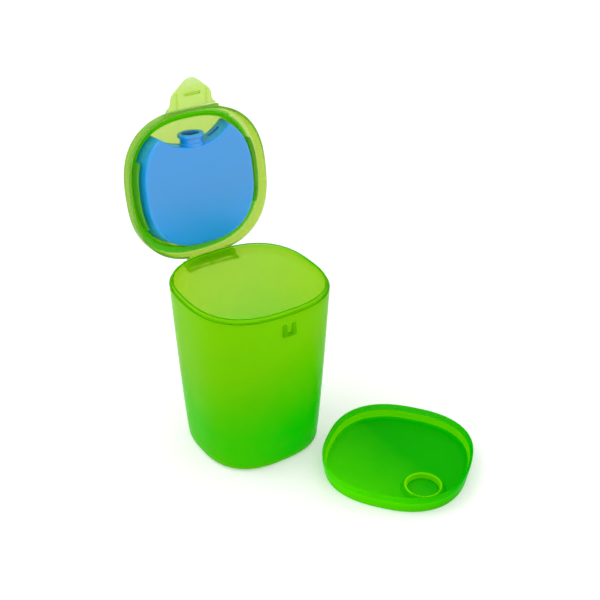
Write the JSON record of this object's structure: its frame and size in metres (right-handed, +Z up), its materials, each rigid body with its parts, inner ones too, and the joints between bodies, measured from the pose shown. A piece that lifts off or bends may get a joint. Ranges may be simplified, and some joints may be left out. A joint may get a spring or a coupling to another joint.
{
  "type": "toddler snack container",
  "caption": "Tapered rounded-square snack cup with a hinged lid, fold-over latch, lift-out cold pack in the lid and a separate shallow tray.",
  "frame": {"origin": "centre of the cup's foot, on the surface it stands on", "axes": "+Z up along the cup, -Y towards the front with the latch and catch, +Y towards the hinge, +X to the right seen from the front"},
  "size_m": [0.1712, 0.2261, 0.245],
  "materials": {
    "cup_plastic": "injection-moulded translucent green polypropylene, satin gloss",
    "lid_plastic": "injection-moulded translucent pale yellow-green polypropylene, satin gloss",
    "pack_plastic": "blow-moulded blue polyethylene, soft sheen",
    "coolant": "water-based coolant, sealed in the pack",
    "tray_plastic": "injection-moulded translucent green polypropylene, satin gloss"
  },
  "bodies": {
    "cup": {"cup_body": "cup_plastic"},
    "lid": {"lid_shell": "lid_plastic"},
    "latch": {"latch_tab": "lid_plastic"},
    "cold_pack": {"ice_pack_shell": "pack_plastic", "ice_pack_plug": "pack_plastic", "cooling_gel": "coolant"},
    "tray": {"snack_tray": "tray_plastic"}
  },
  "joints": [
    {"name": "lid_hinge", "type": "hinge", "parent": "cup", "child": "lid", "pos_m": [0, 0.0544, 0.118], "axis": [1, 0, 0], "range_deg": [0, 99]},
    {"name": "latch_fold", "type": "hinge", "parent": "lid", "child": "latch", "pos_m": [0, 0.07104, 0.2237], "axis": [1, 0, 0], "range_deg": [-20, 83], "stiffness_Nm_per_rad": 0.02},
    {"name": "cold_pack_pull", "type": "slide", "parent": "lid", "child": "cold_pack", "axis": [0, -0.9877, 0.1564], "range_m": [0, 0.03]},
    {"name": "tray_lift", "type": "slide", "parent": "cup", "child": "tray", "axis": [0, 0, 1], "range_m": [0, 0.06]}
  ]
}
